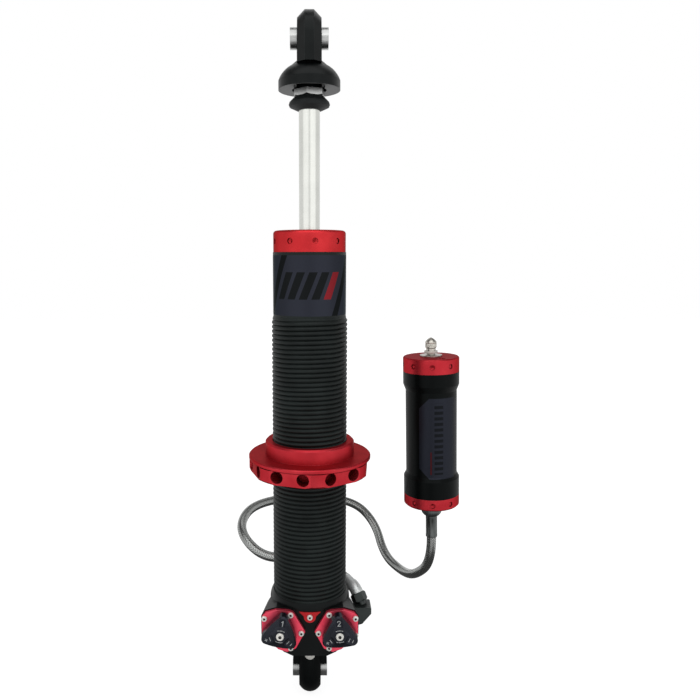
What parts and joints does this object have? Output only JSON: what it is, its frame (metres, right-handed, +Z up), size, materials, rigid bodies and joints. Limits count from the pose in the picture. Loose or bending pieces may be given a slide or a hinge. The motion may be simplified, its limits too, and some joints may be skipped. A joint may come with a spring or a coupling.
{
  "type": "coilover",
  "caption": "Threaded-body coilover damper with a valve block, two adjuster knobs, a spring adjuster nut, spherical eyes and a remote gas reservoir on a braided hose",
  "frame": {"origin": "Centre of the lower eye's bolt bore", "axes": "+Z runs up the shock's axis to the upper eye, +X along both eye bolts, -Y is the side that the adjuster knobs face, and the reservoir stands at +X"},
  "size_m": [0.1804, 0.1943, 0.4827],
  "materials": {
    "black_anodised": "satin black anodised",
    "red_anodised": "satin red anodised",
    "red_plate": "bright red anodised",
    "hard_anodised": "dark grey hard anodised",
    "clear_aluminium": "turned, clear",
    "rod_chrome": "polished hard chrome",
    "zinc_steel": "zinc plated",
    "bearing_steel": "ground",
    "dark_steel": "black oxide",
    "black_rubber": "matt",
    "bronze": "plain bearing bronze",
    "seal_plastic": "filled PTFE",
    "steel_braid": "woven stainless wire"
  },
  "bodies": {
    "body": {"base_body": "black_anodised", "lower_bearing_race": "bearing_steel", "lower_retaining_rings": "dark_steel", "center_plug": "red_anodised", "center_plug_screw": "zinc_steel", "bleed_screw": "zinc_steel", "shock_tube": "black_anodised", "pressure_tube": "zinc_steel", "top_cap": "red_anodised", "rod_wiper": "black_rubber", "rod_guide": "clear_aluminium", "rod_guide_ring": "black_rubber", "rod_bush": "bronze", "rod_seal": "black_rubber", "reservoir_tube": "black_anodised", "reservoir_top_cap": "red_anodised", "reservoir_bottom_cap": "red_anodised", "fill_washer": "zinc_steel", "fill_valve": "zinc_steel", "hose": "steel_braid", "hose_socket": "clear_aluminium", "swivel_nut": "black_anodised", "hose_elbow": "black_anodised", "reservoir_ferrule": "clear_aluminium", "reservoir_tailpiece": "hard_anodised", "rebound_plate": "red_plate", "rebound_plate_screws": "zinc_steel", "rebound_cartridge": "clear_aluminium", "rebound_cartridge_ring": "black_rubber", "compression_plate": "red_plate", "compression_plate_screws": "zinc_steel", "compression_cartridge": "clear_aluminium", "compression_cartridge_ring": "black_rubber"},
    "lower_bearing": {"lower_bearing_ball": "bearing_steel", "lower_bearing_spacers": "zinc_steel"},
    "upper_bearing": {"upper_bearing_ball": "bearing_steel", "upper_bearing_spacers": "zinc_steel"},
    "rod": {"piston_rod": "rod_chrome", "stack_washer": "zinc_steel", "rebound_shims": "zinc_steel", "piston": "clear_aluminium", "piston_band": "seal_plastic", "compression_shims": "zinc_steel", "piston_nut": "zinc_steel", "rebound_stop": "clear_aluminium", "bump_stop": "black_rubber", "jam_nut": "zinc_steel", "upper_eye": "black_anodised", "upper_bearing_race": "bearing_steel", "upper_retaining_rings": "dark_steel"},
    "spring_adjuster": {"adjuster_nut": "red_anodised"},
    "rebound_adjuster": {"rebound_knob": "black_anodised", "rebound_knob_screw": "zinc_steel", "rebound_stem": "zinc_steel"},
    "compression_adjuster": {"compression_knob": "black_anodised", "compression_knob_screw": "zinc_steel", "compression_stem": "zinc_steel"},
    "gas_piston": {"floating_piston": "clear_aluminium", "floating_piston_ring": "black_rubber"},
    "valve_cap": {"fill_valve_cap": "zinc_steel"}
  },
  "joints": [
    {"name": "rod_slide", "type": "slide", "parent": "body", "child": "rod", "axis": [0, 0, 1], "range_m": [-0.079, 0], "stiffness_N_per_m": 400, "springref_m": 0.4},
    {"name": "lower_eye_pivot", "type": "hinge", "parent": "body", "child": "lower_bearing", "pos_m": [0, 0, 0], "axis": [1, 0, 0], "continuous": true},
    {"name": "upper_eye_pivot", "type": "hinge", "parent": "rod", "child": "upper_bearing", "pos_m": [0, 0, 0.4475], "axis": [1, 0, 0], "continuous": true},
    {"name": "spring_adjuster_slide", "type": "slide", "parent": "body", "child": "spring_adjuster", "axis": [0, 0, 1], "range_m": [-0.075, 0.085]},
    {"name": "rebound_turn", "type": "hinge", "parent": "body", "child": "rebound_adjuster", "pos_m": [-0.0205, -0.031, 0.047], "axis": [0, -1, 0], "range_deg": [-270, 270]},
    {"name": "compression_turn", "type": "hinge", "parent": "body", "child": "compression_adjuster", "pos_m": [0.0205, -0.031, 0.047], "axis": [0, -1, 0], "range_deg": [-270, 270]},
    {"name": "gas_piston_slide", "type": "slide", "parent": "body", "child": "gas_piston", "axis": [-0.0262, 0, 0.9997], "range_m": [-0.001, 0.0135]},
    {"name": "valve_cap_lift", "type": "slide", "parent": "body", "child": "valve_cap", "axis": [-0.0262, 0, 0.9997], "range_m": [0, 0.006]}
  ],
  "couplings": [
    {"joint": "gas_piston_slide", "follows": "rod_slide", "ratio": -0.1669}
  ]
}
